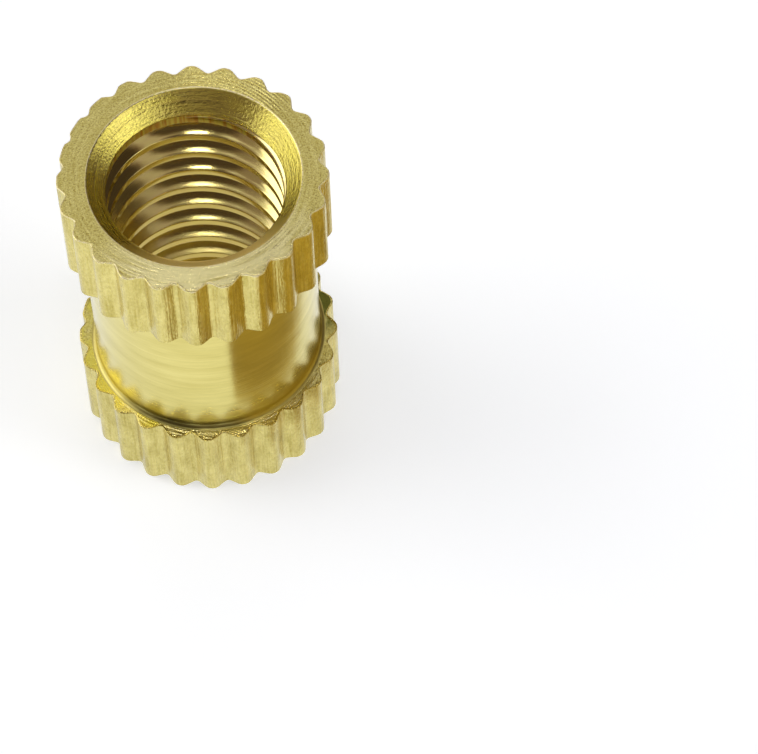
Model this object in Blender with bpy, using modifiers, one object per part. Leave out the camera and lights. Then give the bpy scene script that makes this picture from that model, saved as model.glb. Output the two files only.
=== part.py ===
"""Threaded insert: one turned brass piece, knurled at both ends, with a neck and a tapped bore.

It is made in the order of the real one. A bar with a straight knurl is cut to length, a neck is
turned between its two knurled bands, both ends are countersunk, and the bore is tapped. The insert
stands on its lower end face: the origin is the middle of that face, and +Z is the axis.
"""

import math

import bmesh
import bpy

MM = 0.001

# Lengths along the axis. The neck takes what the two bands leave.
TOTAL_LENGTH = 18.6 * MM
BAND_LENGTH = 4.8 * MM

# Thread: metric coarse, right-hand, with the usual 60 degree form. The bore is its tapping size.
THREAD_DIAMETER = 10.0 * MM
THREAD_PITCH = 1.5 * MM
THREAD_FLANK_ANGLE = math.radians(30.0)
THREAD_START_ANGLE = math.radians(101.0)

# Countersink at each end: its mouth is a little wider than the thread.
MOUTH_CLEARANCE = 0.15 * MM
COUNTERSINK_HALF_ANGLE = math.radians(45.0)

# Walls outside the thread: the neck, and the step from the neck up to the roots of the teeth.
NECK_WALL = 0.65 * MM
BAND_STEP = 0.42 * MM
NECK_CORNER_RADIUS = 0.25 * MM

# Straight knurl: teeth with a round crest and a narrower, rounded valley.
TOOTH_COUNT = 24
TOOTH_DEPTH = 0.43 * MM
CREST_RADIUS = 0.50 * MM
VALLEY_RADIUS = 0.25 * MM

# Facets.
CREST_STEPS = 4
VALLEY_STEPS = 3
CORNER_STEPS = 4
TURNED_STEPS = 96
THREAD_STEPS = 48

# How far the cutters run past the faces that they cut, and how close two points are one point.
CUTTER_OVERRUN = 1.0 * MM
TAP_OVERRUN_TURNS = 2
SEAM_MERGE = 0.001 * MM
SHARP_EDGE_ANGLE = math.radians(28.0)

# Sizes that follow.
NECK_LENGTH = TOTAL_LENGTH - 2.0 * BAND_LENGTH
BORE_RADIUS = (THREAD_DIAMETER - THREAD_PITCH) / 2.0
THREAD_RADIUS = THREAD_DIAMETER / 2.0
MOUTH_RADIUS = THREAD_RADIUS + MOUTH_CLEARANCE
NECK_RADIUS = THREAD_RADIUS + NECK_WALL
ROOT_RADIUS = NECK_RADIUS + BAND_STEP
OUTER_RADIUS = ROOT_RADIUS + TOOTH_DEPTH

BRASS_COLOUR = (0.58, 0.48, 0.17, 1.0)
BRASS_ROUGHNESS = 0.32

HALF_TURN = math.pi
QUARTER_TURN = math.pi / 2.0


# ---- scene, objects and meshes ----


def clear_scene():
    """Remove every object, so that the model starts from nothing."""
    for leftover in list(bpy.data.objects):
        bpy.data.objects.remove(leftover, do_unlink=True)


def new_collection(name):
    collection = bpy.data.collections.new(name)
    bpy.context.scene.collection.children.link(collection)
    return collection


def new_object(name, data, collection):
    body = bpy.data.objects.new(name, data)
    collection.objects.link(body)
    return body


def new_profile(name, points, closed, collection):
    """A line of (radius, height) points in the XZ plane, ready for a Screw modifier."""
    mesh = bpy.data.meshes.new(name)
    edges = [(i, i + 1) for i in range(len(points) - 1)]
    if closed:
        edges.append((len(points) - 1, 0))
    mesh.from_pydata([(radius, 0.0, height) for radius, height in points], edges, [])
    return new_object(name, mesh, collection)


def evaluated_mesh(body, name):
    """A new mesh that holds what the object's modifiers or curve settings make of it."""
    bpy.context.view_layer.update()
    depsgraph = bpy.context.evaluated_depsgraph_get()
    mesh = bpy.data.meshes.new_from_object(body.evaluated_get(depsgraph))
    mesh.name = name
    mesh.transform(body.matrix_world)
    return mesh


def weld(shape):
    bmesh.ops.remove_doubles(shape, verts=shape.verts, dist=SEAM_MERGE)


def arc_points(centre, radius, start, end, steps):
    """Points along an arc from one angle to another, both ends included."""
    angles = [start + (end - start) * i / steps for i in range(steps + 1)]
    return [(centre[0] + radius * math.cos(a), centre[1] + radius * math.sin(a)) for a in angles]


# ---- the blank ----


def half_tooth():
    """(radius, angle) of the points of half a tooth, from its crest to its valley.

    The crest is an arc that touches the outer diameter, the valley is an arc that touches the root
    circle, and a straight flank is tangent to both arcs.
    """
    half_pitch = HALF_TURN / TOOTH_COUNT
    valley_distance = ROOT_RADIUS + VALLEY_RADIUS
    crest = (0.0, OUTER_RADIUS - CREST_RADIUS)
    valley = (valley_distance * math.sin(half_pitch), valley_distance * math.cos(half_pitch))
    bearing = math.atan2(valley[1] - crest[1], valley[0] - crest[0])
    flank_normal = bearing + math.acos((CREST_RADIUS + VALLEY_RADIUS) / math.dist(crest, valley))
    valley_start = flank_normal + HALF_TURN
    valley_end = HALF_TURN + QUARTER_TURN - half_pitch
    points = arc_points(crest, CREST_RADIUS, QUARTER_TURN, flank_normal, CREST_STEPS)
    points += arc_points(valley, VALLEY_RADIUS, valley_start, valley_end, VALLEY_STEPS)
    return [(math.hypot(x, y), math.atan2(x, y)) for x, y in points]


def knurl_outline():
    """The bar's cross-section: the same tooth all round, counter-clockwise seen from above."""
    half = half_tooth()
    mirrored = [(radius, -angle) for radius, angle in reversed(half)]
    # The first point is left out, because the tooth before ends there.
    tooth = (mirrored + half[1:])[1:]
    tooth_pitch = 2.0 * HALF_TURN / TOOTH_COUNT
    outline = []
    for number in range(TOOTH_COUNT):
        middle = number * tooth_pitch
        outline += [(r * math.cos(middle + a), r * math.sin(middle + a)) for r, a in tooth]
    return outline


def knurled_bar(collection):
    """The blank: the knurl's outline, extruded to the insert's full length."""
    outline = knurl_outline()
    curve = bpy.data.curves.new("knurl_outline", "CURVE")
    curve.dimensions = "2D"
    curve.fill_mode = "BOTH"
    curve.extrude = TOTAL_LENGTH / 2.0
    spline = curve.splines.new("POLY")
    spline.points.add(len(outline) - 1)
    for point, (x, y) in zip(spline.points, outline):
        point.co = (x, y, 0.0, 1.0)
    spline.use_cyclic_u = True
    sketch = new_object("knurl_outline", curve, collection)
    sketch.location.z = TOTAL_LENGTH / 2.0
    mesh = evaluated_mesh(sketch, "threaded_insert")
    bpy.data.objects.remove(sketch, do_unlink=True)
    shape = bmesh.new()
    shape.from_mesh(mesh)
    weld(shape)
    bmesh.ops.recalc_face_normals(shape, faces=shape.faces)
    shape.to_mesh(mesh)
    shape.free()
    return new_object("threaded_insert", mesh, collection)


# ---- the cutters ----


def mark_as_cutter(body):
    """Show a cutter as wire, and keep it out of renders."""
    body.display_type = "WIRE"
    body.hide_render = True
    return body


def turned_cutter(name, points, closed, collection):
    """A cutter turned about Z. Its profile runs down its outer side."""
    cutter = new_profile(name, points, closed, collection)
    screw = cutter.modifiers.new("Turn", "SCREW")
    screw.axis = "Z"
    screw.steps = TURNED_STEPS
    screw.render_steps = TURNED_STEPS
    screw.use_merge_vertices = True
    screw.merge_threshold = SEAM_MERGE
    return mark_as_cutter(cutter)


def neck_cutter(collection):
    """The ring that is turned away round the neck, with the tool's nose radius in its corners."""
    bottom = BAND_LENGTH
    top = BAND_LENGTH + NECK_LENGTH
    outside = OUTER_RADIUS + CUTTER_OVERRUN
    nose = NECK_RADIUS + NECK_CORNER_RADIUS
    lower_centre = (nose, bottom + NECK_CORNER_RADIUS)
    upper_centre = (nose, top - NECK_CORNER_RADIUS)
    points = [(outside, top), (outside, bottom)]
    points += arc_points(
        lower_centre, NECK_CORNER_RADIUS, HALF_TURN + QUARTER_TURN, HALF_TURN, CORNER_STEPS
    )
    points += arc_points(upper_centre, NECK_CORNER_RADIUS, HALF_TURN, QUARTER_TURN, CORNER_STEPS)
    return turned_cutter("neck_cutter", points, True, collection)


def countersink(name, face, outwards, collection):
    """A cone with its mouth in the end face at height face; outwards is +1 or -1 along Z."""
    slope = math.tan(COUNTERSINK_HALF_ANGLE)
    base = face + outwards * CUTTER_OVERRUN
    tip = face - outwards * MOUTH_RADIUS / slope
    points = [(0.0, base), (MOUTH_RADIUS + CUTTER_OVERRUN * slope, base), (0.0, tip)]
    if outwards < 0:
        points.reverse()
    return turned_cutter(name, points, False, collection)


def tap_profile():
    """One pitch of the tap, running down: half a core flat, a flank, the tooth's flat, and back.

    The basic form of the thread has a flat of an eighth of the pitch at the major diameter.
    """
    half_pitch = THREAD_PITCH / 2.0
    half_flat = THREAD_PITCH / 8.0 / 2.0
    half_base = half_flat + (THREAD_RADIUS - BORE_RADIUS) * math.tan(THREAD_FLANK_ANGLE)
    return [
        (BORE_RADIUS, half_pitch),
        (BORE_RADIUS, half_base),
        (THREAD_RADIUS, half_flat),
        (THREAD_RADIUS, -half_flat),
        (BORE_RADIUS, -half_base),
        (BORE_RADIUS, -half_pitch),
    ]


def cap_ends(shape):
    """Close each open end of the swept tap with a fan of faces to a point on the axis."""
    heights = [vert.co.z for vert in shape.verts]
    lowest = min(heights)
    highest = max(heights)
    middle = (lowest + highest) / 2.0
    lower_point = shape.verts.new((0.0, 0.0, lowest))
    upper_point = shape.verts.new((0.0, 0.0, highest))
    for edge in [edge for edge in shape.edges if edge.is_boundary]:
        point = lower_point if edge.verts[0].co.z < middle else upper_point
        shape.faces.new((edge.verts[0], edge.verts[1], point))


def tap(collection):
    """The tap: its profile swept along a right-hand helix that runs past both end faces."""
    sweep = new_profile("tap_sweep", tap_profile(), False, collection)
    sweep.location.z = -TAP_OVERRUN_TURNS * THREAD_PITCH
    sweep.rotation_euler.z = THREAD_START_ANGLE
    screw = sweep.modifiers.new("Thread", "SCREW")
    screw.axis = "Z"
    screw.screw_offset = THREAD_PITCH
    screw.iterations = math.ceil(TOTAL_LENGTH / THREAD_PITCH) + 2 * TAP_OVERRUN_TURNS
    screw.steps = THREAD_STEPS
    screw.render_steps = THREAD_STEPS
    mesh = evaluated_mesh(sweep, "tap")
    bpy.data.objects.remove(sweep, do_unlink=True)
    shape = bmesh.new()
    shape.from_mesh(mesh)
    # One turn's last profile point is the next turn's first, so welding joins the turns.
    weld(shape)
    cap_ends(shape)
    bmesh.ops.recalc_face_normals(shape, faces=shape.faces)
    shape.to_mesh(mesh)
    shape.free()
    return mark_as_cutter(new_object("tap", mesh, collection))


# ---- the insert ----


def cut(body, cutter):
    boolean = body.modifiers.new(cutter.name, "BOOLEAN")
    boolean.operation = "DIFFERENCE"
    boolean.solver = "EXACT"
    boolean.object = cutter


def finish_shape(body):
    """Apply the cuts, then shade the turned faces smooth and keep the machined edges sharp."""
    mesh = evaluated_mesh(body, body.name)
    body.modifiers.clear()
    body.data = mesh
    mesh.shade_smooth()
    mesh.set_sharp_from_angle(angle=SHARP_EDGE_ANGLE)


def brass():
    material = bpy.data.materials.new("brass")
    material.use_nodes = True
    shader = material.node_tree.nodes["Principled BSDF"]
    shader.inputs["Base Color"].default_value = BRASS_COLOUR
    shader.inputs["Metallic"].default_value = 1.0
    shader.inputs["Roughness"].default_value = BRASS_ROUGHNESS
    return material


def build():
    clear_scene()
    parts = new_collection("threaded_insert")
    cutters = new_collection("cutters")
    insert = knurled_bar(parts)
    cut(insert, neck_cutter(cutters))
    cut(insert, countersink("upper_countersink", TOTAL_LENGTH, 1.0, cutters))
    cut(insert, countersink("lower_countersink", 0.0, -1.0, cutters))
    cut(insert, tap(cutters))
    finish_shape(insert)
    insert.data.materials.append(brass())


build()
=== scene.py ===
"""Threaded insert: the visual model and the small studio that it stands in.

The file is laid out as an add-on and run as a script. The insert is one surface, worked out in
columns round the axis: each column is a closed line that runs over the upper end face, down the
outside, under the lower end face and back up through the tapped bore. The operators build the
insert and the studio, and main calls them in order.
"""

import math

import bpy
import numpy as np
from bpy.props import FloatProperty, FloatVectorProperty, IntProperty, PointerProperty
from mathutils import Matrix, Vector


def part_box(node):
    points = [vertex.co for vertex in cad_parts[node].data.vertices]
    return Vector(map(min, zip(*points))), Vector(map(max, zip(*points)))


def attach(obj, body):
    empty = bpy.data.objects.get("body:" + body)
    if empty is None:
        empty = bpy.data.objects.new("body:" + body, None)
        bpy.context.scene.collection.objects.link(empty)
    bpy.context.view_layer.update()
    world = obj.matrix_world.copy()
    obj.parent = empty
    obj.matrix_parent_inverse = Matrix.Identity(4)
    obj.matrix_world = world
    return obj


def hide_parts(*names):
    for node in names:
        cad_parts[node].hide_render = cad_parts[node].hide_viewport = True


bl_info = {
    "name": "Threaded insert",
    "version": (1, 0, 0),
    "blender": (4, 5, 0),
    "location": "3D Viewport > Sidebar > Insert",
    "description": "Builds a knurled brass threaded insert and the studio that it stands in",
    "category": "Add Mesh",
}

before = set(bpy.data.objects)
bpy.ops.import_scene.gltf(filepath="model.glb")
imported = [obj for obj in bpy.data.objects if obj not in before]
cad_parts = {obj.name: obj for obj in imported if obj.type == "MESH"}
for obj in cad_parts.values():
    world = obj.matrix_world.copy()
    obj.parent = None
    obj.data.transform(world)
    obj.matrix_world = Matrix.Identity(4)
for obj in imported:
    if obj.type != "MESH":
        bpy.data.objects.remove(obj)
CAD_LOW, CAD_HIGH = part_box("threaded_insert")
CAD_SIZE = np.subtract(CAD_HIGH, CAD_LOW)
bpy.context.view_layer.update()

MM = 0.001

# The angle of every metric thread's flanks, and the bearing at which the middle of a groove meets
# the lower end face.
FLANK_ANGLE = math.radians(30.0)
THREAD_START = math.radians(101.0)

# Where the insert departs from its drawing. Bearings are from +X towards +Y.
TOOTH_CREEP = math.radians(0.85)
CREEP_BEARING = math.radians(125.0)
SHALLOW_BEARING = math.radians(155.0)
SHALLOW_REACH = math.radians(52.0)
MOUTH_BEARING = math.radians(48.0)
BURR_BEARING = math.radians(-95.0)
BURR_REACH = math.radians(130.0)
EDGE_BURR_BEARING = math.radians(-105.0)
EDGE_BURR_REACH = math.radians(135.0)
# Nicks in the rims: the upper band's upper and lower rim, and the lower band's upper rim.
NICKS = (7, 12, 6)
# What the random draws start from: the burr, the ragged rims of both bands, and the nicks.
BURR_SEED, UPPER_SEED, LOWER_SEED, NICK_SEED = 3, 5, 6, 11
# How far the corner between two surfaces that meet is rounded over.
BLEND = 0.02 * MM
# Marks on the brass, and the painted light and shade on it: bearings in degrees, sizes in
# millimetres.
# The front, where the tools dug and rubbed, and where the end face's painted highlight and the
# countersink's painted golden reflection lie.
WORN_AND_SHEEN_BEARING = -80.0
# Painted shade in the corner at the neck's foot.
CORNER_SHADE_BEARING = -103.0
# The side of the lower band's ledge whose colour goes dark green.
DARK_LEDGE_BEARING = 80.0
# The side of the ledge with a painted lemon highlight.
LEDGE_HIGHLIGHT_BEARING = -160.0
PARTING_BEARING = 72.0
PARTING_CENTRE = (-0.49, 0.25, 0.0)
PARTING_STEP = 0.165


# ---- helpers and settings ----


def linear(code):
    """The linear colour of an sRGB hex code such as "d9c27a"."""
    values = np.array([int(code[i : i + 2], 16) for i in (0, 2, 4)]) / 255.0
    low = values / 12.92
    high = ((values + 0.055) / 1.055) ** 2.4
    return tuple(float(v) for v in np.where(values <= 0.04045, low, high))


def bearing(azimuth, elevation):
    """A unit vector: azimuth from +X towards +Y and elevation above the floor, in degrees."""
    turn, rise = math.radians(azimuth), math.radians(elevation)
    flat = math.cos(rise)
    return Vector((flat * math.cos(turn), flat * math.sin(turn), math.sin(rise)))


def add_object(scene, name, data):
    """A new object in the scene, with a mesh, a lamp or a camera as its data."""
    item = bpy.data.objects.new(name, data)
    scene.collection.objects.link(item)
    return item


def length_property(name, description, millimetres):
    return FloatProperty(
        name=name, description=description, default=float(millimetres * MM), min=0.0,
        unit="LENGTH",
    )


def colour_property(name, description, code):
    return FloatVectorProperty(
        name=name, description=description, default=linear(code), size=3, min=0.0, max=1.0,
        subtype="COLOR",
    )


class InsertSizes(bpy.types.PropertyGroup):
    """The sizes of the insert."""

    length: length_property("Length", "End face to end face", CAD_SIZE[2] / MM)
    outer_diameter: length_property("Outer diameter", "Over the knurl's crests", CAD_SIZE[0] / MM)
    band_length: length_property("Band length", "Length of each knurled band", 4.8)
    neck_diameter: length_property("Neck diameter", "Diameter of the turned neck", 11.3)
    corner_radius: length_property("Corner radius", "Radius where the neck meets a band", 0.25)
    thread_diameter: length_property("Thread diameter", "Major diameter of the thread", 10.0)
    thread_pitch: length_property("Thread pitch", "Distance from thread to thread", 1.5)
    mouth_diameter: length_property("Mouth diameter", "Countersink at the end face", 10.3)
    mouth_offset: length_property("Mouth offset", "Upper countersink's centring error", 0.07)
    tooth_count: IntProperty(name="Teeth", description="Teeth of the knurl", default=24, min=6)
    tooth_depth: length_property("Tooth depth", "Crest to valley of the knurl", 0.43)
    crest_radius: length_property("Crest radius", "Radius of a tooth's crest", 0.50)
    valley_radius: length_property("Valley radius", "Radius between two teeth", 0.25)
    knurl_fade: length_property("Knurl fade", "Depth lost where the knurl ran shallow", 0.27)
    burr_height: length_property("Burr height", "Burr along the rim of the upper end face", 0.045)
    nick_depth: length_property("Nick depth", "Deepest of the nicks in the rims", 0.09)
    groove_radius: length_property("Groove radius", "Radius in the thread's grooves", 0.16)
    tap_oversize: length_property("Tap oversize", "How far the tap cut over the diameter", 0.08)
    flank_hollow: length_property("Flank hollow", "Dip in the middle of a thread's flank", 0.030)
    crest_edge_radius: length_property("Crest edge radius", "Radius on the thread's crests", 0.06)
    edge_burr: length_property("Edge burr", "Burr where the upper countersink ends", 0.035)
    lead_start: length_property("Lead start", "Depth at which the groove begins", 0.55)
    lead_length: length_property("Lead length", "Depth over which the groove grows", 0.70)


class BrassColours(bpy.types.PropertyGroup):
    """The colours of the brass."""

    drawn: colour_property("Drawn brass", "Surfaces of the knurl, pressed and drawn", "efe08c")
    clean: colour_property("Clean brass", "Freshly cut brass", "ecde87")
    worn: colour_property("Worn brass", "Brass dulled by handling", "d6c76e")
    lemon: colour_property("Burnished brass", "The countersink, rubbed bright", "efe36c")
    bore: colour_property("Oiled brass", "The tapped bore, under a little oil", "e8d488")
    # A painted reflection, laid as amber stripes on the first thread crest.
    painted_amber_reflection: colour_property("Amber brass", "Brass under a film of old oil", "d6a23c")
    # A painted reflection, for the near side of the countersink.
    painted_near_reflection: colour_property("Golden brass", "The near side of the countersink", "fde594")
    pale: colour_property("Rubbed edge", "Rims rubbed pale", "f6eac0")
    bright: colour_property("Bright grain", "The bright side of torn grain", "fbf1a0")
    # A painted highlight, for the tops of the end face's rings on one side.
    rubbed: colour_property("Rubbed rings", "Tops of the rings on the end face", "fdf4b6")
    oil: colour_property("Old oil", "Brass under dark green oil", "6a6a2c")
    grain: colour_property("Torn grain", "The dark side of torn grain", "b8a64a")


class StudioSettings(bpy.types.PropertyGroup):
    """The light and the floor of the studio."""

    floor_colour: colour_property("Floor", "Colour of the pale floor", "f0f0f0")
    floor_glow: FloatProperty(
        name="Floor glow", description="How far the floor is lit as a light table", default=0.47,
        min=0.0,
    )
    ambient: FloatProperty(name="Ambient", description="Level of the room", default=0.12, min=0.0)


# ---- profiles ----


def arc(centre, radius, start, end, steps):
    """Radii and heights on an arc: the centre plus radius times cosine and sine of the angle."""
    angle = np.linspace(start, end, steps + 1)
    return centre[0] + radius * np.cos(angle), centre[1] + radius * np.sin(angle)


def greater(first, second, blend):
    """The greater of two values, with the corner between them rounded over the blend."""
    return (first + second + np.sqrt((first - second) ** 2 + blend**2)) / 2.0


def swell(angle, middle, reach):
    """One at a bearing, falling as a cosine to nothing at the reach on either side of it."""
    away = np.abs(np.mod(angle - middle + math.pi, 2.0 * math.pi) - math.pi)
    return 0.5 + 0.5 * np.cos(math.pi * np.minimum(away / reach, 1.0))


def wander(angle, seed, waves=(1, 2, 3, 5, 8, 13, 21)):
    """A smooth random value round the axis: cosines of whole turns, weaker as they get finer."""
    generator = np.random.default_rng(seed)
    total = np.zeros_like(angle)
    for wave in waves:
        total += np.cos(wave * angle + generator.uniform(0.0, 2.0 * math.pi)) / math.sqrt(wave)
    return total / math.sqrt(sum(0.5 / wave for wave in waves))


def tooth_outline(sizes):
    """Angles of the columns round the axis, and the knurl's radius at each.

    Half a tooth is an arc over the crest, a straight flank tangent to it, and an arc in the
    valley. The half is mirrored about the crest and repeated round the axis. The teeth then creep
    ahead and behind by a cosine of one turn, as they do where the knurling wheel slips, and on one
    side the valleys are lifted towards the outer diameter, where the wheel ran shallow.
    """
    count = sizes.tooth_count
    half_pitch = math.pi / count
    outer = sizes.outer_diameter / 2.0
    crest = (0.0, outer - sizes.crest_radius)
    reach = outer - sizes.tooth_depth + sizes.valley_radius
    valley = (reach * math.sin(half_pitch), reach * math.cos(half_pitch))
    lean = math.atan2(valley[1] - crest[1], valley[0] - crest[0])
    span = math.dist(crest, valley)
    normal = lean + math.acos((sizes.crest_radius + sizes.valley_radius) / span)
    crest_x, crest_y = arc(crest, sizes.crest_radius, math.pi / 2.0, normal, 2)
    valley_x, valley_y = arc(
        valley, sizes.valley_radius, normal + math.pi, 1.5 * math.pi - half_pitch, 2
    )
    middle_x = (crest_x[-1:] + valley_x[:1]) / 2.0
    middle_y = (crest_y[-1:] + valley_y[:1]) / 2.0
    x = np.concatenate([crest_x, middle_x, valley_x])
    y = np.concatenate([crest_y, middle_y, valley_y])
    turn, radius = np.arctan2(x, y), np.hypot(x, y)
    one_turn = np.concatenate([-turn[:0:-1], turn[:-1]])
    one_radius = np.concatenate([radius[:0:-1], radius[:-1]])
    centres = np.arange(count) * 2.0 * half_pitch
    angles = (centres[:, None] + one_turn[None, :]).ravel()
    angles = angles + TOOTH_CREEP * np.cos(angles - CREEP_BEARING)
    lift = sizes.knurl_fade * swell(angles, SHALLOW_BEARING, SHALLOW_REACH)
    raised = np.tile(one_radius, count) + lift
    return angles, -greater(-raised, -(outer + BLEND / 2.0), BLEND)


def thread_profile(sizes):
    """One pitch of the internal thread: heights from groove centre to groove centre, and radii.

    Half the form is an arc in the groove's bottom, a flank at thirty degrees to the plane across
    the axis, an arc over the crest's edge and half the crest's flat. The flank is hollowed by a
    parabola, as a worn tap leaves it. The other half is its mirror image.
    """
    pitch = sizes.thread_pitch
    major = (sizes.thread_diameter + sizes.tap_oversize) / 2.0
    minor = (sizes.thread_diameter - pitch) / 2.0
    bottom, edge = sizes.groove_radius, sizes.crest_edge_radius
    turn = math.pi / 2.0 - FLANK_ANGLE
    swing = np.linspace(0.0, turn, 3)
    floor = major - bottom
    groove_z, groove_r = bottom * np.sin(swing), floor + bottom * np.cos(swing)
    # The crest's edge arc is tangent to the flank, which fixes how far along the axis it lies.
    lift = edge - math.sin(FLANK_ANGLE) * (minor + edge - groove_r[-1])
    centre = groove_z[-1] + lift / math.cos(FLANK_ANGLE)
    edge_z = centre - edge * np.sin(swing[::-1])
    edge_r = minor + edge - edge * np.cos(swing[::-1])
    share = np.array([0.3, 0.6, 0.85])
    flank_z = groove_z[-1] + share * (edge_z[0] - groove_z[-1])
    flank_z += 4.0 * sizes.flank_hollow * share * (1.0 - share)
    flank_r = groove_r[-1] + share * (edge_r[0] - groove_r[-1])
    half_z = np.concatenate([groove_z, flank_z, edge_z, [pitch / 2.0]])
    half_r = np.concatenate([groove_r, flank_r, edge_r, [minor]])
    heights = np.concatenate([half_z, pitch - half_z[-2::-1]])
    return heights, np.concatenate([half_r, half_r[-2::-1]])


def upper_mouth(sizes, angle):
    """Radius of the upper countersink's mouth, whose centre lies a little off the axis."""
    return sizes.mouth_diameter / 2.0 + sizes.mouth_offset * np.cos(angle - MOUTH_BEARING)


def smooth_step(value, low, high):
    """Nothing below low, one above high, and a cubic with level ends between them."""
    share = np.clip((value - low) / (high - low), 0.0, 1.0)
    return share * share * (3.0 - 2.0 * share)


def bore_radius(sizes, angle, height):
    """The bore's radius: the greatest of the thread and the two countersinks, gently blended.

    The thread is its profile at the height less the helix's rise at that angle. Near the upper end
    the groove begins small and grows: it is the same profile scaled about its lower edge, by a
    share that rises with the depth of the groove's middle. A countersink is the mouth's radius
    less the distance from its end face, for a cone of ninety degrees. Where the upper one ends, a
    burr stands into the bore as a bell curve of the height, and fades out on the far side.
    """
    pitch = sizes.thread_pitch
    minor = (sizes.thread_diameter - pitch) / 2.0
    heights, radii = thread_profile(sizes)
    half_width = heights[len(heights) // 2 - 1]
    rise = pitch * (angle - THREAD_START) / (2.0 * math.pi)
    above = np.mod(height - rise + pitch / 2.0, pitch) - pitch / 2.0
    begin = sizes.length - sizes.lead_start
    share = 1.0 - smooth_step(height - above, begin - sizes.lead_length, begin)
    share = np.maximum(share, 0.001)
    place = np.abs((above + half_width) / share - half_width)
    half = slice(len(heights) // 2 + 1)
    thread = minor + share * (np.interp(place, heights[half], radii[half]) - minor)
    lower_cone = sizes.mouth_diameter / 2.0 - height
    mouth = upper_mouth(sizes, angle)
    upper_cone = mouth - (sizes.length - height)
    burr = sizes.edge_burr * swell(angle, EDGE_BURR_BEARING, EDGE_BURR_REACH)
    above = (height - (sizes.length - (mouth - minor) + 0.03 * MM)) / (0.035 * MM)
    radius = greater(thread, np.maximum(lower_cone, upper_cone), BLEND)
    return radius - burr * np.exp(-(above**2))


# ---- the insert's surface ----


def outside_rows(sizes, angles, tooth, mouth, burr, seed):
    """Rows of the upper half of the outside, from the mouth to mid height: radius, height, zone.

    The end face runs from the mouth's rolled edge to the tooth outline, where a burr of the given
    height stands up and leans out. The band's side follows the outline down to a ragged rim, and
    the ledge under it runs in to the neck, which is a plain circle with a rounded corner.
    """
    top = sizes.length
    neck = sizes.neck_diameter / 2.0
    corner = sizes.corner_radius
    under = top - sizes.band_length
    level = np.zeros_like(tooth)
    rows = [
        (mouth - 0.022 * MM, level + top - 0.021 * MM, "rim"),
        (mouth + 0.012 * MM, level + top - 0.006 * MM, "rim"),
    ]
    face_start, face_end = mouth + 0.05 * MM, tooth - 0.17 * MM
    for share in (0.0, 0.3, 0.65, 1.0):
        rows.append((face_start + share * (face_end - face_start), level + top, "faced"))
    for inset, drop, lean, rise, zone in (
        (0.11, 0.0, 0.0, 0.13, "faced"),
        (0.065, 0.002, 0.0, 0.8, "rim"),
        (0.02, 0.008, 0.0, 1.15, "rim"),
        (0.004, 0.022, 0.55, 0.85, "rim"),
        (0.0, 0.05, 0.4, -0.3, "knurled"),
        (0.0, 0.08, -0.15, -0.4, "knurled"),
        (0.0, 0.14, 0.0, 0.0, "knurled"),
    ):
        rows.append((tooth - inset * MM + lean * burr, top - drop * MM + rise * burr, zone))
    for drop in (0.5, 1.2, 2.0, 2.8, 3.5, 4.1, 4.45, 4.62):
        rows.append((tooth, level + top - drop * MM, "knurled"))
    ragged = 0.5 * sizes.burr_height * wander(angles, seed, (7, 12, 19, 31, 43))
    for inset, lift, share in (
        (0.0, 0.09, 0.2), (-0.008, 0.03, 0.8), (0.008, 0.0, 1.0), (0.045, -0.004, 0.7),
        (0.1, 0.0, 0.0),
    ):
        rows.append((tooth - inset * MM, under + lift * MM + share * ragged, "knurled"))
    ledge = neck + corner
    for share in (0.35, 0.8, 1.0):
        inner = tooth - 0.1 * MM
        rows.append((inner + share * (ledge - inner), level + under, "faced"))
    turn_r, turn_z = arc((ledge, under - corner), corner, math.pi / 2.0, math.pi, 4)
    for radius, height in zip(turn_r[1:], turn_z[1:]):
        rows.append((level + radius, level + height, "turned"))
    neck_end = under - corner
    for share in (0.06, 0.3, 0.6, 0.9):
        height = neck_end + share * (top / 2.0 - neck_end)
        rows.append((level + neck, level + height, "turned"))
    return rows


def dent(points, sizes):
    """The points with nicks pressed in towards the axis.

    A nick is a bell curve of the distance from its middle, which lies on the rim of a band at a
    random bearing. Its depth and width are random too.
    """
    generator = np.random.default_rng(NICK_SEED)
    reach = sizes.outer_diameter / 2.0 - sizes.tooth_depth / 3.0
    rims = (sizes.length, sizes.length - sizes.band_length, sizes.band_length)
    flat = points * np.array([1.0, 1.0, 0.0])
    inward = -flat / np.linalg.norm(flat, axis=-1, keepdims=True)
    for rim, count in zip(rims, NICKS):
        for _ in range(count):
            turn = generator.uniform(0.0, 2.0 * math.pi)
            middle = np.array([reach * math.cos(turn), reach * math.sin(turn), rim])
            width = generator.uniform(0.12, 0.24) * MM
            depth = generator.uniform(0.3, 1.0) * sizes.nick_depth
            away = np.linalg.norm(points - middle, axis=-1, keepdims=True)
            points = points + inward * depth * np.exp(-((away / width) ** 2))
    return points


def ring_points(radius, angle, height):
    """Points at a radius, angle and height: radius times cosine and sine, and the height."""
    return np.stack([radius * np.cos(angle), radius * np.sin(angle), height], axis=-1)


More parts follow.
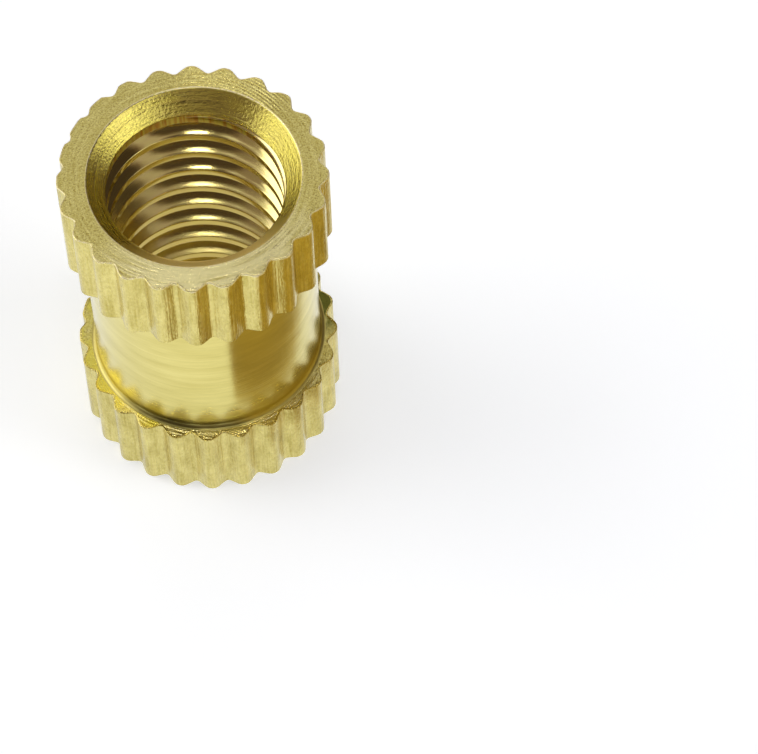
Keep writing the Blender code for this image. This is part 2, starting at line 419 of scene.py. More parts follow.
def insert_surface(sizes):
    """Vertices, cells and zones of the insert's closed surface.

    A cell lies between two rows and two columns. The rows on the outside and in the countersinks
    are level rings. The rows in the thread climb one pitch a turn, so each keeps its place on the
    thread's form; where one passes the ring at either end of the thread it lies on that ring.
    """
    angles, tooth = tooth_outline(sizes)
    count = len(angles)
    mouth = sizes.mouth_diameter / 2.0
    level = np.zeros_like(tooth)
    strength = np.clip(0.55 + 0.35 * wander(angles, BURR_SEED), 0.0, 1.0)
    strength *= 0.25 + 0.75 * swell(angles, BURR_BEARING, BURR_REACH)
    burr = sizes.burr_height * strength
    upper = outside_rows(sizes, angles, tooth, upper_mouth(sizes, angles), burr, UPPER_SEED)
    lower = outside_rows(sizes, angles, tooth, level + mouth, level, LOWER_SEED)
    outside = upper + [(r, sizes.length - z, zone) for r, z, zone in reversed(lower)]
    outer_points = np.stack([ring_points(r, angles, z) for r, z, _ in outside])
    points = list(dent(outer_points, sizes))
    zones = [zone for _, _, zone in outside]
    minor = (sizes.thread_diameter - sizes.thread_pitch) / 2.0
    depth = mouth - minor + 0.04 * MM
    start = 0.05 * MM
    lower_rows = [level + z for z in np.linspace(start, depth, 20)]
    # The upper cone's rows keep their share of its depth, which differs round its mouth.
    upper_depth = upper_mouth(sizes, angles) - minor
    shares = np.concatenate([np.linspace(1.04, 0.86, 11), np.linspace(0.82, 0.0, 20)])
    upper_rows = [sizes.length - (start + share * (upper_depth - start)) for share in shares]
    upper_rows.insert(0, level + sizes.length - depth - sizes.mouth_offset - 0.03 * MM)

    def bore_rows(rows):
        return [ring_points(bore_radius(sizes, angles, z), angles, z) for z in rows]

    points += bore_rows(lower_rows)
    zones += ["countersunk"] * len(lower_rows)
    ring_start = len(points)
    rings = np.arange(ring_start * count).reshape(ring_start, count)
    # The thread's rows, with one more column that closes the turn.
    pitch = sizes.thread_pitch
    steps = thread_profile(sizes)[0][:-1]
    low, high = lower_rows[-1][0], upper_rows[0][0]
    turns = np.arange(-2, math.ceil(sizes.length / pitch) + 2)
    rise = (turns[:, None] * pitch + steps[None, :]).ravel()
    full = np.append(angles, angles[0] + 2.0 * math.pi)
    helix = rise[:, None] + pitch * (full[None, :] - THREAD_START) / (2.0 * math.pi)
    slack = 0.012 * MM
    below, above = helix < low + slack, helix > high - slack
    inside = ~(below | above)
    # A row's last column is the first column of the row that lies one pitch above it.
    own = inside.copy()
    own[:, -1] = False
    index = np.zeros(helix.shape, dtype=np.int64)
    index[own] = ring_start * count + np.arange(own.sum())
    index[: -len(steps), -1] = index[len(steps) :, 0]
    column = np.append(np.arange(count), 0)
    ring_top = ring_start * count + int(own.sum())
    index = np.where(below, rings[-1][column][None, :], index)
    index = np.where(above, (ring_top + column)[None, :], index)
    height = helix[own]
    angle = np.broadcast_to(full, helix.shape)[own]
    thread_points = ring_points(bore_radius(sizes, angle, height), angle, height)
    upper_points = bore_rows(upper_rows)
    top_rings = ring_top + np.arange(len(upper_rows) * count).reshape(-1, count)
    vertices = np.concatenate([np.concatenate(points), thread_points, np.concatenate(upper_points)])

    def closed(ring):
        return np.concatenate([ring, ring[:, :1]], axis=1)

    used = ~(below.all(axis=1) | above.all(axis=1))
    grid = np.concatenate([closed(rings), index[used], closed(top_rings), closed(rings[:1])])
    zones += ["tapped"] * (int(used.sum()) + 1) + ["countersunk"] * (len(upper_rows) - 1)
    corners = np.stack([grid[:-1, :-1], grid[:-1, 1:], grid[1:, 1:], grid[1:, :-1]], axis=-1)
    zone = np.array([ZONES.index(name) for name in zones])
    zone = np.broadcast_to(zone[:, None], corners.shape[:2])
    return vertices, corners.reshape(-1, 4), zone.ravel()


def area_normals(vertices, quads, triangles):
    """A normal at each vertex: the sum of its faces' normals, each as long as its face's area."""
    normals = np.zeros_like(vertices)
    for faces in (quads, triangles):
        across = vertices[faces[:, 2]] - vertices[faces[:, 0]]
        other = vertices[faces[:, -1]] - vertices[faces[:, 1]]
        face_normal = np.cross(across, other)
        for corner in range(faces.shape[1]):
            np.add.at(normals, faces[:, corner], face_normal)
    return normals / np.linalg.norm(normals, axis=1, keepdims=True)


def surface_mesh(name, vertices, corners, zone):
    """A smooth mesh of the cells: those with two equal corners become triangles or go."""
    left = corners[:, 0] == corners[:, 3]
    right = corners[:, 1] == corners[:, 2]
    whole, left, right = ~left & ~right, left & ~right, right & ~left
    quads = corners[whole]
    triangles = np.concatenate([corners[left][:, :3], corners[right][:, [0, 1, 3]]])
    kinds = np.concatenate([zone[whole], zone[left], zone[right]])
    mesh = bpy.data.meshes.new(name)
    mesh.from_pydata(vertices.tolist(), [], quads.tolist() + triangles.tolist())
    mesh.polygons.foreach_set("material_index", kinds.astype(np.int32))
    mesh.shade_smooth()
    normals = area_normals(vertices, quads, triangles)
    mesh.normals_split_custom_set_from_vertices(normals.tolist())
    return mesh


# ---- materials ----


def add_node(tree, kind, inputs=None, **settings):
    """Add a node, set its properties, and give its sockets values, sockets or first outputs."""
    node = tree.nodes.new(kind)
    for name, value in settings.items():
        setattr(node, name, value)
    for socket, value in (inputs or {}).items():
        if isinstance(value, bpy.types.Node):
            value = value.outputs[0]
        if isinstance(value, bpy.types.NodeSocket):
            tree.links.new(value, node.inputs[socket])
        else:
            node.inputs[socket].default_value = value
    return node


def stretched_noise(tree, place, scale, detail):
    """Noise that changes as many times in a millimetre as the scale says along each axis."""
    stretched = add_node(tree, "ShaderNodeMapping", {"Vector": place, "Scale": scale})
    return add_node(
        tree, "ShaderNodeTexNoise", {"Vector": stretched, "Scale": 1.0, "Detail": detail}
    )


def weigh(tree, *parts, start=0.0):
    """The start and the sum of some patterns, each given with its weight."""
    total = start
    for pattern, weight in parts:
        total = add_node(
            tree, "ShaderNodeMath", {0: pattern, 1: weight, 2: total}, operation="MULTIPLY_ADD"
        )
    return total


def off_axis(tree, place):
    """A place's part across the axis, its distance from the axis and its height."""
    split = add_node(tree, "ShaderNodeSeparateXYZ", {0: place})
    flat = add_node(tree, "ShaderNodeCombineXYZ", {0: split.outputs[0], 1: split.outputs[1]})
    reach = add_node(tree, "ShaderNodeVectorMath", {0: flat}, operation="LENGTH")
    return flat, reach.outputs["Value"], split.outputs[2]


def facing(tree, flat, azimuth):
    """How far a place lies towards a bearing: the cosine of the angle between them."""
    outwards = add_node(tree, "ShaderNodeVectorMath", {0: flat}, operation="NORMALIZE")
    cosine = add_node(
        tree, "ShaderNodeVectorMath", {0: outwards, 1: tuple(bearing(azimuth, 0.0))},
        operation="DOT_PRODUCT",
    )
    return cosine.outputs["Value"]


def new_material(name, empty=False):
    """A material, its tree, emptied if asked, and the place on the object in millimetres."""
    material = bpy.data.materials.new(name)
    material.use_nodes = True
    tree = material.node_tree
    if empty:
        tree.nodes.clear()
    here = add_node(tree, "ShaderNodeTexCoord")
    place = add_node(
        tree, "ShaderNodeVectorMath", {0: here.outputs["Object"], "Scale": 1.0 / MM},
        operation="SCALE",
    )
    return material, tree, place


def brass(name, colour, roughness, anisotropy=0.0):
    """Free-cutting brass with plain values: its material, tree, shader and place in millimetres."""
    material, tree, place = new_material(name)
    shader = tree.nodes["Principled BSDF"]
    shader.inputs["Base Color"].default_value = (*colour, 1.0)
    shader.inputs["Metallic"].default_value = 1.0
    shader.inputs["Roughness"].default_value = roughness
    shader.inputs["Anisotropic"].default_value = anisotropy
    if anisotropy:
        round_axis = add_node(tree, "ShaderNodeTangent", direction_type="RADIAL", axis="Z")
        tree.links.new(round_axis.outputs[0], shader.inputs["Tangent"])
    return material, tree, shader, place


def finish_brass(tree, shader, height, depth, share, dark, clean, rough=None):
    """Join the patterns to the shader: relief of a depth in millimetres, colour and roughness.

    The share carries the colour from dark to clean over its middle range, 0.3 to 0.7, and the
    pattern in rough carries the roughness between the two values after it over the same range.
    """
    relief = add_node(
        tree, "ShaderNodeBump", {"Height": height, "Strength": 1.0, "Distance": depth * MM}
    )
    tree.links.new(relief.outputs[0], shader.inputs["Normal"])
    middle = add_node(
        tree, "ShaderNodeMapRange", {"Value": share, "From Min": 0.3, "From Max": 0.7}
    )
    colour = add_node(
        tree, "ShaderNodeMix", {0: middle, 6: (*dark, 1.0), 7: (*clean, 1.0)}, data_type="RGBA"
    )
    tree.links.new(colour.outputs[2], shader.inputs["Base Color"])
    if rough:
        value, low, high = rough
        spread = add_node(
            tree, "ShaderNodeMapRange",
            {"Value": value, "From Min": 0.3, "From Max": 0.7, "To Min": low, "To Max": high},
        )
        tree.links.new(spread.outputs[0], shader.inputs["Roughness"])


def paint_over(tree, shader, share, colour):
    """Lay another colour over the shader's colour, by a share."""
    plain = shader.inputs["Base Color"].links[0].from_socket
    painted = add_node(tree, "ShaderNodeMix", {0: share, 6: plain, 7: colour}, data_type="RGBA")
    tree.links.new(painted.outputs[2], shader.inputs["Base Color"])


def faced_brass(colours, sizes):
    """Faced with a worn tool: satin, with a sandy grain, rings about the axis and a few lines."""
    material, tree, shader, place = brass("faced_brass", colours.clean, 0.34)
    # Torn grain of about 0.08 mm, whose facets sparkle one by one.
    grain = add_node(tree, "ShaderNodeTexNoise", {"Vector": place, "Scale": 12.0, "Detail": 2.0})
    # Rings about the axis, some 0.12 mm apart and drawn out a few millimetres along the turn.
    flat, reach, high = off_axis(tree, place)
    split = add_node(tree, "ShaderNodeSeparateXYZ", {0: flat})
    drawn = add_node(
        tree, "ShaderNodeCombineXYZ", {0: reach, 1: split.outputs[0], 2: split.outputs[1]}
    )
    rings = stretched_noise(tree, drawn, (8.0, 0.5, 0.5), 3.0)
    # On one side the tool dug in: the rings are deeper there, and their tops carry a painted
    # highlight.
    dug = add_node(
        tree, "ShaderNodeMapRange",
        {"Value": facing(tree, flat, WORN_AND_SHEEN_BEARING),
         "From Min": 0.35, "From Max": 0.9, "To Min": 0.3, "To Max": 1.3},
    )
    rings_dug = add_node(tree, "ShaderNodeMath", {0: rings, 1: dug}, operation="MULTIPLY")
    painted_ring_highlight = add_node(
        tree, "ShaderNodeMapRange",
        {"Value": rings_dug, "From Min": 0.28, "From Max": 0.62, "To Max": 0.9},
    )
    # Lines about a centre off the axis, left where the insert was parted off.
    off = add_node(
        tree, "ShaderNodeVectorMath", {0: flat, 1: PARTING_CENTRE}, operation="DISTANCE"
    )
    phase = add_node(
        tree, "ShaderNodeMath", {0: off.outputs["Value"], 1: 2.0 * math.pi / PARTING_STEP},
        operation="MULTIPLY",
    )
    lines = add_node(tree, "ShaderNodeMath", {0: phase}, operation="SINE")
    cut = add_node(
        tree, "ShaderNodeMapRange",
        {"Value": facing(tree, flat, PARTING_BEARING),
         "From Min": 0.80, "From Max": 0.95, "To Max": 0.19},
    )
    height = add_node(tree, "ShaderNodeMath", {0: lines, 1: cut}, operation="MULTIPLY")
    height = weigh(tree, (rings_dug, 0.9), (grain, 0.5), start=height)
    shade = weigh(tree, (rings, 0.35), (grain, 0.65))
    finish_brass(
        tree, shader, height, 0.05, shade, colours.grain, colours.bright, (grain, 0.13, 0.25)
    )
    # Painted highlight: the ring tops on that side are painted pale.
    paint_over(tree, shader, painted_ring_highlight, (*colours.rubbed, 1.0))
    # On the lower band's ledge the colour goes dark green towards the back, and a lemon painted
    # highlight lies at the left.
    ledge = sizes.band_length / MM
    low = add_node(
        tree, "ShaderNodeMapRange",
        {"Value": high, "From Min": ledge + 0.2, "From Max": ledge + 1.2,
         "To Min": 1.0, "To Max": 0.0},
    )
    pool = add_node(tree, "ShaderNodeTexNoise", {"Vector": place, "Scale": 0.9, "Detail": 3.0})
    for azimuth, begin, end, colour in (
        (DARK_LEDGE_BEARING, 0.50, 0.75, colours.oil), (LEDGE_HIGHLIGHT_BEARING, 1.26, 1.42, colours.lemon),
    ):
        near = add_node(tree, "ShaderNodeMath", {0: pool, 1: facing(tree, flat, azimuth)})
        share = add_node(
            tree, "ShaderNodeMapRange", {"Value": near, "From Min": begin, "From Max": end}
        )
        share = add_node(tree, "ShaderNodeMath", {0: share, 1: low}, operation="MULTIPLY")
        paint_over(tree, shader, share, (*colour, 1.0))
    return material


def rim_brass(colours, sizes):
    """Rims and burrs rubbed pale and bright, with small bites."""
    material, tree, shader, place = brass("rim_brass", colours.pale, 0.3)
    bites = add_node(tree, "ShaderNodeTexNoise", {"Vector": place, "Scale": 9.0, "Detail": 2.0})
    finish_brass(
        tree, shader, bites, 0.012, bites, colours.clean, colours.pale, (bites, 0.24, 0.38)
    )
    return material


def knurled_brass(colours, sizes):
    """Knurled by a pressed wheel: fine lines drawn along the axis, pits and dull patches."""
    material, tree, shader, place = brass("knurled_brass", colours.drawn, 0.26)
    # Lines about 0.08 mm apart and a few millimetres long.
    lines = stretched_noise(tree, place, (10.0, 10.0, 0.4), 4.0)
    # Pits and torn spots of about 0.1 mm, a little longer along the axis.
    pits = stretched_noise(tree, place, (9.0, 9.0, 5.0), 2.0)
    # Dull patches a millimetre or so long, where the wheel picked up chips.
    dull = stretched_noise(tree, place, (1.6, 1.6, 0.7), 3.0)
    height = weigh(tree, (pits, 0.7), (lines, 0.8))
    shade = weigh(tree, (pits, 0.4), (dull, 0.5), (lines, 0.6), start=-0.22)
    finish_brass(
        tree, shader, height, 0.035, shade, colours.grain, colours.drawn, (lines, 0.04, 0.48)
    )
    return material


def turned_brass(colours, sizes):
    """Turned at a fine feed: nearly bright, with faint rings, and painted shade in the corner at
    the foot.
    """
    material, tree, shader, place = brass("turned_brass", colours.clean, 0.18, 0.3)
    # Feed marks, drawn 0.08 mm apart because the real ones are too fine to show.
    feed = stretched_noise(tree, place, (0.25, 0.25, 13.0), 4.0)
    cloud = stretched_noise(tree, place, (0.4, 0.4, 1.6), 3.0)
    shade = weigh(tree, (cloud, 0.6), (feed, 0.4))
    finish_brass(tree, shader, feed, 0.006, shade, colours.worn, colours.clean)
    # Duller towards the lower band, and darkened in the corner at the neck's foot: painted shade.
    flat, _, high = off_axis(tree, place)
    ledge = sizes.band_length / MM
    rough = add_node(
        tree, "ShaderNodeMapRange",
        {"Value": high, "From Min": ledge, "From Max": ledge + 2.6, "To Min": 0.36, "To Max": 0.17},
    )
    tree.links.new(rough.outputs[0], shader.inputs["Roughness"])
    foot = add_node(
        tree, "ShaderNodeMapRange",
        {"Value": facing(tree, flat, CORNER_SHADE_BEARING),
         "From Min": 0.80, "From Max": 0.92, "To Min": 0.85, "To Max": 0.25},
    )
    corner_shade = add_node(
        tree, "ShaderNodeMapRange",
        {"Value": weigh(tree, (cloud, 1.2), start=high),
         "From Min": ledge + 0.6, "From Max": ledge + 1.1, "To Min": foot, "To Max": 1.0},
    )
    # Painted shade: the colour is darkened in the corner on one side.
    colour = shader.inputs["Base Color"].links[0].from_socket
    shaded_colour = add_node(tree, "ShaderNodeVectorMath", {0: colour, "Scale": corner_shade}, operation="SCALE")
    tree.links.new(shaded_colour.outputs[0], shader.inputs["Base Color"])
    return material


def countersunk_brass(colours, sizes):
    """Countersunk with a chattering tool and rubbed bright: lemon, with a painted golden reflection
    on the near side.
    """
    material, tree, shader, place = brass("countersunk_brass", colours.lemon, 0.34, 0.4)
    # Rings round the cone, about 0.1 mm apart, and torn spots of about 0.15 mm.
    rings = stretched_noise(tree, place, (0.3, 0.3, 10.0), 4.0)
    torn = add_node(tree, "ShaderNodeTexNoise", {"Vector": place, "Scale": 7.0, "Detail": 3.0})
    cloud = stretched_noise(tree, place, (0.7, 0.7, 3.0), 3.0)
    height = weigh(tree, (torn, 0.9), (rings, 1.0))
    shade = weigh(tree, (cloud, 0.5), (rings, 0.5))
    finish_brass(tree, shader, height, 0.03, shade, colours.worn, colours.lemon)
    # Torn and dull on the side where the tool rubbed, but smooth along the edge of the bore.
    # That side is also painted golden: a painted reflection.
    flat, _, high = off_axis(tree, place)
    front = facing(tree, flat, WORN_AND_SHEEN_BEARING)
    dull = add_node(
        tree, "ShaderNodeMapRange",
        {"Value": front, "From Min": 0.55, "From Max": 0.9, "To Min": 0.12, "To Max": 0.46},
    )
    golden = add_node(
        tree, "ShaderNodeMapRange", {"Value": front, "From Min": 0.4, "From Max": 0.9}
    )
    width = (sizes.mouth_diameter - sizes.thread_diameter + sizes.thread_pitch) / 2.0
    end = (sizes.length - width) / MM
    edge = add_node(
        tree, "ShaderNodeMapRange",
        {"Value": high, "From Min": end + 0.08, "From Max": end + 0.03, "To Max": golden},
    )
    rough = weigh(tree, (rings, 0.25), (edge, -0.25), start=dull)
    tree.links.new(rough.outputs[0], shader.inputs["Roughness"])
    # Painted reflection: the near side is painted golden.
    paint_over(tree, shader, golden, (*colours.painted_near_reflection, 1.0))
    return material


def tapped_brass(colours, sizes):
    """Cut by a tap and oiled: bright flanks at the top, duller below, a scarred first crest."""
    material, tree, shader, place = brass("tapped_brass", colours.clean, 0.12)
    drag = stretched_noise(tree, place, (1.2, 1.2, 9.0), 3.0)
    # Chatter marks about 0.3 mm apart, which run along the axis and lie only on the first crest.
    chatter = stretched_noise(tree, place, (4.0, 4.0, 0.3), 2.0)
    _, reach, high = off_axis(tree, place)
    top = sizes.length / MM
    minor = (sizes.thread_diameter - sizes.thread_pitch) / 2.0 / MM
    first = add_node(
        tree, "ShaderNodeMapRange",
        {"Value": high, "From Min": top - 2.4, "From Max": top - 1.8},
    )
    crest = add_node(
        tree, "ShaderNodeMapRange",
        {"Value": reach, "From Min": minor + 0.02, "From Max": minor + 0.06,
         "To Min": first, "To Max": 0.0},
    )
    marks = add_node(tree, "ShaderNodeMath", {0: chatter, 1: crest}, operation="MULTIPLY")
    height = weigh(tree, (marks, 13.0), (drag, 0.6))
    finish_brass(tree, shader, height, 0.006, drag, colours.bore, colours.clean)
    # The first crest carries real chatter marks, with stripes of amber and lemon painted over them:
    # a painted reflection.
    stripe = add_node(
        tree, "ShaderNodeMapRange", {"Value": chatter, "From Min": 0.4, "From Max": 0.6}
    )
    stripes = add_node(
        tree, "ShaderNodeMix", {0: stripe, 6: (*colours.painted_amber_reflection, 1.0), 7: (*colours.lemon, 1.0)},
        data_type="RGBA",
    )
    paint_over(tree, shader, crest, stripes.outputs[2])
    # The chips scored the lower threads, some of them more than others.
    scored = add_node(
        tree, "ShaderNodeMapRange",
        {"Value": stretched_noise(tree, place, (0.05, 0.05, 0.6), 1.0),
         "From Min": 0.35, "From Max": 0.65, "To Min": -0.03, "To Max": 0.08},
    )
    rough = add_node(
        tree, "ShaderNodeMapRange",
        {"Value": high, "From Min": top - 13.0, "From Max": top - 3.5,
         "To Min": 0.27, "To Max": 0.09},
    )
    rough = weigh(tree, (scored, 1.0), (crest, 0.28), start=rough)
    tree.links.new(rough.outputs[0], shader.inputs["Roughness"])
    # The film of clear oil mirrors the lamp white, down to the lowest threads.
    shader.inputs["Coat Weight"].default_value = 1.0
    shader.inputs["Coat Roughness"].default_value = 0.06
    shader.inputs["Coat IOR"].default_value = 1.6
    return material


FINISHES = {
    "faced": faced_brass,
    "rim": rim_brass,
    "knurled": knurled_brass,
    "turned": turned_brass,
    "countersunk": countersunk_brass,
    "tapped": tapped_brass,
}
# A face's zone is the number of its finish, and of its material slot.
ZONES = list(FINISHES)


# ---- studio ----

# The camera: its place in millimetres, its own right, up and back in the frame, and its lens.
CAMERA_PLACE = Vector((8.88286781, -105.77616227, 174.7293218))
CAMERA_AXES = Matrix((
    (0.99953209, -0.02519935, -0.01733741),
    (0.03053414, 0.85548107, 0.51693308),
    (0.00180545, -0.51722058, 0.85585023),
))
CAMERA_LENS = 188.34

# What the metal sees of the room, each patch painted over those before it: azimuth, elevation,
# the half-widths at which it starts and has finished fading out, in degrees, and level.
ROOM_PATCHES = (
    (91.0, 62.0, 14.0, 33.0, 0.72),
    (90.0, 86.0, 11.0, 22.0, 0.60),
    (91.0, 9.0, 13.0, 22.0, 1.20),
    (-9.0, 61.0, 14.0, 26.0, 0.44),
    (-9.0, 19.0, 14.0, 27.0, 1.15),
    (168.0, 15.0, 27.0, 42.0, 1.30),
    (-174.0, 58.0, 15.0, 27.0, 1.15),
    (-88.0, 33.0, 16.0, 34.0, 0.34),
    (-142.0, 46.0, 18.0, 25.0, 0.26),
    (-106.0, 53.0, 15.0, 22.0, 0.07),
    (-62.0, 54.0, 15.0, 22.0, 0.07),
    (22.0, 42.0, 18.0, 27.0, 0.05),
)
# What is dim in the room is brown cloth and wood, and what is bright is white.
DIM_TINT = (1.0, 0.70, 0.52, 1.0)
BRIGHT_TINT = (1.0, 0.97, 0.95, 1.0)

# The floor: its half-width in metres, its colours for the metal in the open, in the painted shadow
# beside the card and in the painted warm shade inside the bore's foot, which only light warmed by
# the brass reaches, and its glow's colour.
FLOOR_HALF = 1.5
OPEN_FLOOR = (0.98, 1.0, 1.04, 1.0)
CARD_SHADOW_FLOOR = (0.52, 0.41, 0.15, 1.0)
BORE_SHADE_FLOOR = (0.72, 0.64, 0.40, 1.0)
GLOW_TINT = (0.85, 0.92, 1.0, 1.0)
# The line on the floor where the card's painted shadow begins: its normal's bearing and its
# distance.
TOE_BEARING = 23.7
TOE_OFFSET = -0.95

# The warm card: its near end, direction, length and section in millimetres, and the colours it
# glows with at the foot, darker there as painted shade, and at the top.
CARD_START = (8.3, -14.87, 0.0)
CARD_BEARING = 47.05
CARD_LENGTH = 17.4
CARD_SIDE = 6.53
CARD_RADIUS = 6.5
CARD_GAP = 0.1
CARD_SHADE_FOOT = (0.33, 0.24, 0.08, 1.0)
CARD_TOP = (0.51, 0.37, 0.09, 1.0)

# Softboxes: name, azimuth, elevation, distance, width and height in metres, radiance, and
# whether the metal mirrors them.
SOFTBOXES = (
    ("key", -83.0, 76.5, 0.40, 0.062, 0.036, 17.0, True),
    ("left_window", 170.0, 45.0, 0.50, 0.26, 0.20, 1.4, True),
    ("right_window", -37.0, 28.0, 0.50, 0.384, 0.23, 1.0, True),
    ("side_fill", -12.0, 38.0, 0.50, 0.22, 0.20, 2.4, False),
)


def add_camera(scene):
    """The camera at its place, turned so that its axes are the ones above."""
    data = bpy.data.cameras.new("camera")
    data.sensor_width = 36.0
    data.lens = CAMERA_LENS
    data.clip_end = 100.0
    camera = add_object(scene, "camera", data)
    turn = CAMERA_AXES.transposed().to_4x4()
    camera.matrix_world = Matrix.Translation(CAMERA_PLACE * MM) @ turn
    scene.camera = camera


def add_world(scene, settings):
    """A plain white room to the camera. The metal sees a dim room with pale patches."""
    world = bpy.data.worlds.new("room")
    scene.world = world
    world.use_nodes = True
    tree = world.node_tree
    tree.nodes.clear()
    way = add_node(tree, "ShaderNodeTexCoord")
    level = settings.ambient
    for azimuth, elevation, even, soft, height in ROOM_PATCHES:
        near = add_node(
            tree, "ShaderNodeVectorMath", {0: way, 1: tuple(bearing(azimuth, elevation))},
            operation="DOT_PRODUCT",
        )
        share = add_node(
            tree, "ShaderNodeMapRange",
            {"Value": near.outputs["Value"], "From Min": math.cos(math.radians(soft)),
             "From Max": math.cos(math.radians(even))},
            interpolation_type="SMOOTHSTEP",
        )
        level = add_node(tree, "ShaderNodeMix", {0: share, 2: level, 3: height})
    pale = add_node(tree, "ShaderNodeMapRange", {"Value": level, "From Min": 0.1, "From Max": 0.6})
    tint = add_node(
        tree, "ShaderNodeMix", {0: pale, 6: DIM_TINT, 7: BRIGHT_TINT}, data_type="RGBA"
    )
    room = add_node(tree, "ShaderNodeBackground", {"Strength": level, "Color": tint.outputs[2]})
    white = add_node(tree, "ShaderNodeBackground", {"Strength": 1.0, "Color": (1, 1, 1, 1)})
    path = add_node(tree, "ShaderNodeLightPath")
    mix = add_node(
        tree, "ShaderNodeMixShader", {0: path.outputs["Is Camera Ray"], 1: room, 2: white}
    )
    add_node(tree, "ShaderNodeOutputWorld", {"Surface": mix})


def add_floor(scene, settings):
    """A pale floor, lit from below for the camera, that goes over into the white room far away.

    The metal sees painted shade on it: dimmer close to the insert, where little light reaches it, a
    warm painted shadow beside the card and warm painted shade inside the bore's foot.
    """
    low, high = -FLOOR_HALF, FLOOR_HALF
    mesh = bpy.data.meshes.new("floor")
    mesh.from_pydata(
        [(low, low, 0), (high, low, 0), (high, high, 0), (low, high, 0)], [], [(0, 1, 2, 3)]
    )
    floor = add_object(scene, "floor", mesh)
    material, tree, place = new_material("pale_floor", empty=True)
    path = add_node(tree, "ShaderNodeLightPath")
    _, reach, _ = off_axis(tree, place)
    # Painted shade: the mirrored floor is dimmer close to the insert.
    level = add_node(
        tree, "ShaderNodeMapRange",
        {"Value": reach, "From Min": 6.0, "From Max": 14.0, "To Min": 0.88, "To Max": 1.03},
    )
    # Close to the card the floor takes a brown painted shadow, from the card's near end onwards.
    share = 1.0
    for azimuth, begin, end in (
        (CARD_BEARING - 90.0, 7.8, 9.0), (TOE_BEARING, TOE_OFFSET - 0.2, TOE_OFFSET + 0.3),
    ):
        distance = add_node(
            tree, "ShaderNodeVectorMath", {0: place, 1: tuple(bearing(azimuth, 0.0))},
            operation="DOT_PRODUCT",
        )
        near = add_node(
            tree, "ShaderNodeMapRange",
            {"Value": distance.outputs["Value"], "From Min": begin, "From Max": end},
        )
        share = add_node(tree, "ShaderNodeMath", {0: share, 1: near}, operation="MULTIPLY")
    tint = add_node(
        tree, "ShaderNodeMix", {0: share, 6: OPEN_FLOOR, 7: CARD_SHADOW_FLOOR}, data_type="RGBA"
    )
    # Painted warm shade inside the bore's foot.
    within = add_node(
        tree, "ShaderNodeMapRange",
        {"Value": reach, "From Min": 4.6, "From Max": 5.8, "To Min": 1.0, "To Max": 0.0},
    )
    tint = add_node(
        tree, "ShaderNodeMix", {0: within, 6: tint.outputs[2], 7: BORE_SHADE_FLOOR}, data_type="RGBA"
    )
    mirrored = add_node(tree, "ShaderNodeEmission", {"Color": tint.outputs[2], "Strength": level})
    lit = add_node(tree, "ShaderNodeBsdfDiffuse", {"Color": (*settings.floor_colour, 1.0)})
    camera_ray = path.outputs["Is Camera Ray"]
    glow = add_node(
        tree, "ShaderNodeMath", {0: camera_ray, 1: settings.floor_glow}, operation="MULTIPLY"
    )
    glow = add_node(tree, "ShaderNodeEmission", {"Strength": glow, "Color": GLOW_TINT})
    seen = add_node(tree, "ShaderNodeAddShader", {0: lit, 1: glow})
    far = add_node(
        tree, "ShaderNodeMapRange", {"Value": reach, "From Min": 30.0, "From Max": 90.0},
        interpolation_type="SMOOTHSTEP",
    )
    far = add_node(tree, "ShaderNodeMath", {0: camera_ray, 1: far}, operation="MULTIPLY")
    white = add_node(tree, "ShaderNodeEmission", {"Strength": 1.0})
    seen = add_node(tree, "ShaderNodeMixShader", {0: far, 1: seen, 2: white})
    both = add_node(
        tree, "ShaderNodeMixShader", {0: path.outputs["Is Glossy Ray"], 1: seen, 2: mirrored}
    )
    add_node(tree, "ShaderNodeOutputMaterial", {"Surface": both})
    mesh.materials.append(material)


def add_lights(scene):
    """The softboxes, each turned to the middle of the insert."""
    middle = Vector((0.0, 0.0, CAD_SIZE[2] / 2.0))
    for name, azimuth, elevation, distance, width, height, radiance, mirrored in SOFTBOXES:
        data = bpy.data.lights.new(name, "AREA")
        data.shape = "RECTANGLE"
        data.size, data.size_y = width, height
        data.energy = radiance * math.pi * width * height
        lamp = add_object(scene, name, data)
        way = bearing(azimuth, elevation)
        turn = way.to_track_quat("Z", "Y").to_matrix().to_4x4()
        lamp.matrix_world = Matrix.Translation(middle + way * distance) @ turn
        lamp.visible_glossy = mirrored


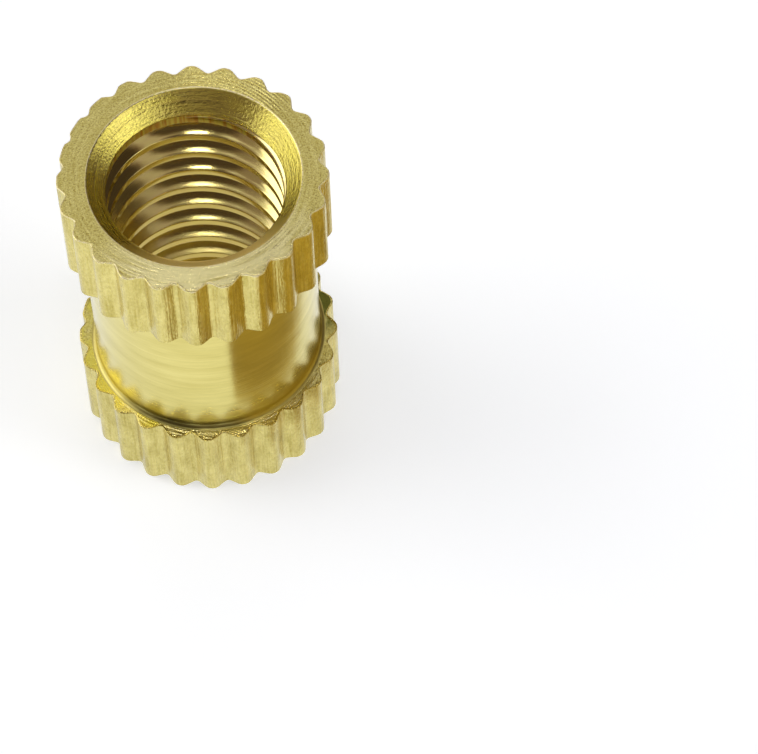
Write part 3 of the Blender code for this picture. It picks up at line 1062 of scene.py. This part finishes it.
def add_warm_card(scene):
    """A bent brown card on the floor, seen only by the metal: it glows as a painted reflection of a
    second insert and of the shade under it, and gives the neck its dark side.

    Its section has straight sides up from the floor and a half circle over them, and is carried
    along the card's direction.
    """
    way = np.array(bearing(CARD_BEARING, 0.0))
    side = np.array((way[1], -way[0], 0.0))
    over = np.linspace(0.0, math.pi, 32)
    across = np.concatenate([[1.0], np.cos(over), [-1.0]]) * CARD_RADIUS
    up = np.concatenate([[CARD_GAP], CARD_SIDE + np.sin(over) * CARD_RADIUS, [CARD_GAP]])
    near = np.array(CARD_START) + across[:, None] * side + up[:, None] * np.array((0.0, 0.0, 1.0))
    count = len(near)
    points = np.concatenate([near, near + way * CARD_LENGTH]) * MM
    here = np.arange(count)
    after = np.roll(here, -1)
    faces = np.stack([here, here + count, after + count, after], axis=1)
    ends = [here.tolist(), (here[::-1] + count).tolist()]
    mesh = bpy.data.meshes.new("warm_card")
    mesh.from_pydata(points.tolist(), [], faces.tolist() + ends)
    card = add_object(scene, "warm_card", mesh)
    material, tree, place = new_material("warm_card", empty=True)
    high = add_node(tree, "ShaderNodeSeparateXYZ", {0: place}).outputs[2]
    rise = add_node(
        tree, "ShaderNodeMapRange", {"Value": high, "From Min": 2.0, "From Max": 11.0}
    )
    tone = add_node(tree, "ShaderNodeMix", {0: rise, 6: CARD_SHADE_FOOT, 7: CARD_TOP}, data_type="RGBA")
    # The card glows: a painted reflection, darker towards the foot as painted shade.
    glow = add_node(tree, "ShaderNodeEmission", {"Color": tone.outputs[2], "Strength": 1.0})
    add_node(tree, "ShaderNodeOutputMaterial", {"Surface": glow})
    mesh.materials.append(material)
    card.visible_camera = False
    card.visible_diffuse = False
    card.visible_shadow = False


# ---- operators and panel ----


class INSERT_OT_turn_insert(bpy.types.Operator):
    """Build the threaded insert as one closed surface in brass"""

    bl_idname = "insert.turn_insert"
    bl_label = "Turn the insert"

    def execute(self, context):
        sizes = context.scene.insert_sizes
        colours = context.scene.brass_colours
        mesh = surface_mesh("insert_surface", *insert_surface(sizes))
        piece = add_object(context.scene, "insert_surface", mesh)
        for finish in FINISHES.values():
            mesh.materials.append(finish(colours, sizes))
        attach(piece, "root")
        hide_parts("threaded_insert")
        return {"FINISHED"}


class INSERT_OT_set_studio(bpy.types.Operator):
    """Lay the floor, hang the lights and place the camera"""

    bl_idname = "insert.set_studio"
    bl_label = "Set the studio"

    def execute(self, context):
        settings = context.scene.studio_settings
        scene = context.scene
        scene.view_settings.view_transform = "Standard"
        add_camera(scene)
        add_world(scene, settings)
        add_floor(scene, settings)
        add_lights(scene)
        add_warm_card(scene)
        return {"FINISHED"}


class INSERT_PT_panel(bpy.types.Panel):
    """The insert's tools in the 3D view's sidebar"""

    bl_label = "Threaded insert"
    bl_idname = "INSERT_PT_panel"
    bl_space_type = "VIEW_3D"
    bl_region_type = "UI"
    bl_category = "Insert"

    def draw(self, context):
        layout = self.layout
        for name, kind in GROUPS.items():
            box = layout.box()
            for setting in kind.__annotations__:
                box.prop(getattr(context.scene, name), setting)
        layout.operator(INSERT_OT_turn_insert.bl_idname)
        layout.operator(INSERT_OT_set_studio.bl_idname)


GROUPS = {
    "insert_sizes": InsertSizes,
    "brass_colours": BrassColours,
    "studio_settings": StudioSettings,
}
OPERATORS = (INSERT_OT_turn_insert, INSERT_OT_set_studio)
CLASSES = (*GROUPS.values(), *OPERATORS, INSERT_PT_panel)


def register():
    for item in CLASSES:
        bpy.utils.register_class(item)
    for name, group in GROUPS.items():
        setattr(bpy.types.Scene, name, PointerProperty(type=group))


def unregister():
    for name in GROUPS:
        delattr(bpy.types.Scene, name)
    for item in reversed(CLASSES):
        bpy.utils.unregister_class(item)


def main():
    register()
    bpy.ops.insert.set_studio()
    bpy.ops.insert.turn_insert()


if __name__ == "__main__":
    main()
